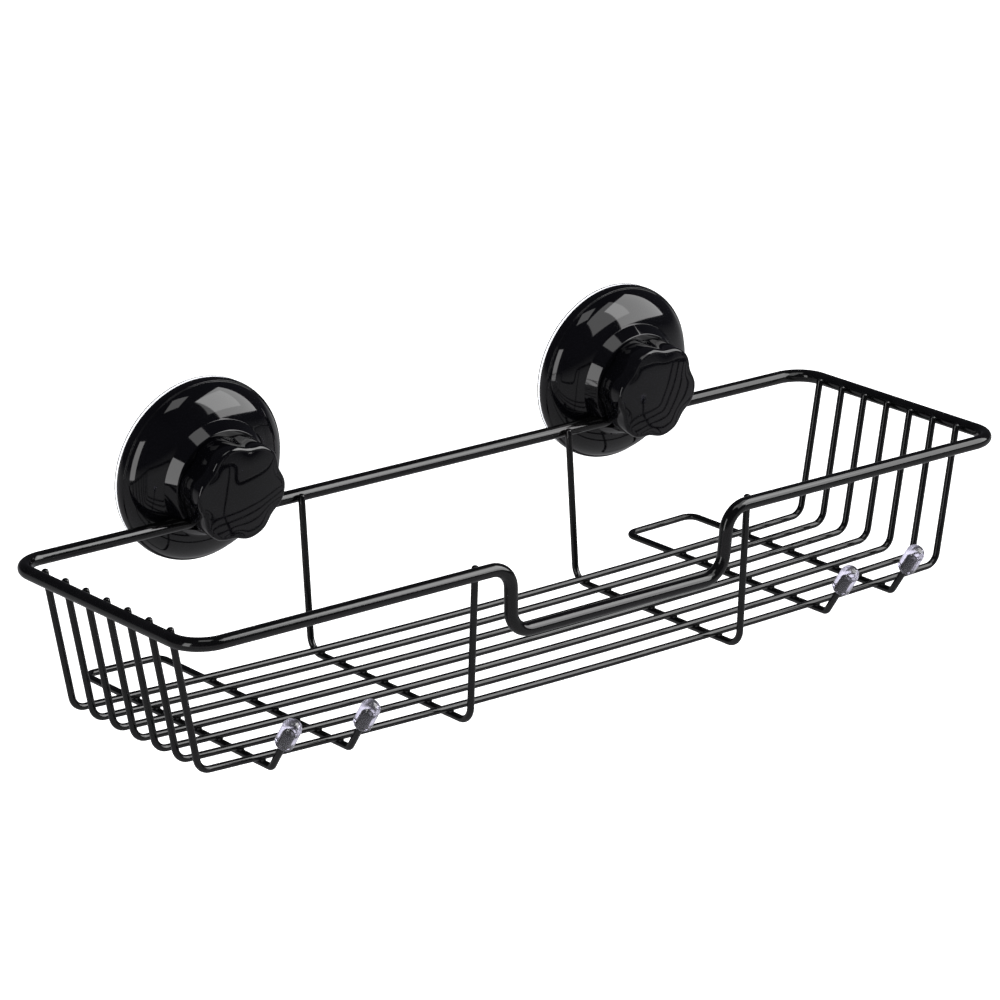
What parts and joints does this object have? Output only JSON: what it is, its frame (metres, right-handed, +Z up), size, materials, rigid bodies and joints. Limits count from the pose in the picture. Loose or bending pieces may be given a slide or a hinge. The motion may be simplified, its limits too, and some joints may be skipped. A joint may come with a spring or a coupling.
{
  "type": "shower caddy",
  "caption": "Black wire shower basket with a dipped front rod and front hooks with clear caps, held on a wall by two screw-down suction cups.",
  "frame": {"origin": "on the wall plane, midway between the two suction cups, at the height of their axes", "axes": "+X along the basket to the right as seen from the room, +Y into the wall, +Z up"},
  "size_m": [0.4156, 0.1483, 0.1206],
  "materials": {
    "coated_steel": "gloss black coating on bent steel rod and wire",
    "cover": "moulded gloss black plastic",
    "knob": "moulded gloss black plastic",
    "threaded_post": "hard moulded plastic",
    "suction_pad": "soft, clear, slightly grey moulded pad",
    "hook_cap": "soft clear moulded cap with a faint lavender tint"
  },
  "bodies": {
    "suction_cups": {"left_suction_pad": "suction_pad", "left_cover": "cover", "right_suction_pad": "suction_pad", "right_cover": "cover"},
    "basket": {"rim_frame": "coated_steel", "floor_wire_1": "coated_steel", "floor_wire_2": "coated_steel", "floor_wire_3": "coated_steel", "floor_wire_4": "coated_steel", "floor_wire_5": "coated_steel", "floor_wire_6": "coated_steel", "floor_wire_7": "coated_steel", "cross_support_left": "coated_steel", "cross_support_right": "coated_steel", "hook_wire_left": "coated_steel", "hook_wire_right": "coated_steel", "hook_cap_left_outer": "hook_cap", "hook_cap_left_inner": "hook_cap", "hook_cap_right_inner": "hook_cap", "hook_cap_right_outer": "hook_cap"},
    "left_knob_body": {"left_knob": "knob"},
    "left_post_body": {"left_threaded_post": "threaded_post"},
    "right_knob_body": {"right_knob": "knob"},
    "right_post_body": {"right_threaded_post": "threaded_post"}
  },
  "joints": [
    {"name": "basket_swing", "type": "hinge", "parent": "suction_cups", "child": "basket", "pos_m": [0, -0.0178, -0.015], "axis": [-1, 0, 0], "range_deg": [0, 90]},
    {"name": "left_knob_turn", "type": "hinge", "parent": "suction_cups", "child": "left_knob_body", "pos_m": [-0.1075, -0.0348, 0], "axis": [0, -1, 0], "range_deg": [0, 360]},
    {"name": "left_post_draw", "type": "slide", "parent": "suction_cups", "child": "left_post_body", "axis": [0, 1, 0], "range_m": [0, 0.003], "deforming": ["left_suction_pad"]},
    {"name": "right_knob_turn", "type": "hinge", "parent": "suction_cups", "child": "right_knob_body", "pos_m": [0.1075, -0.0348, 0], "axis": [0, -1, 0], "range_deg": [0, 360]},
    {"name": "right_post_draw", "type": "slide", "parent": "suction_cups", "child": "right_post_body", "axis": [0, 1, 0], "range_m": [0, 0.003], "deforming": ["right_suction_pad"]}
  ],
  "couplings": [
    {"joint": "left_post_draw", "follows": "left_knob_turn", "m_per_rad": 0.00047746},
    {"joint": "right_post_draw", "follows": "right_knob_turn", "m_per_rad": 0.00047746}
  ]
}
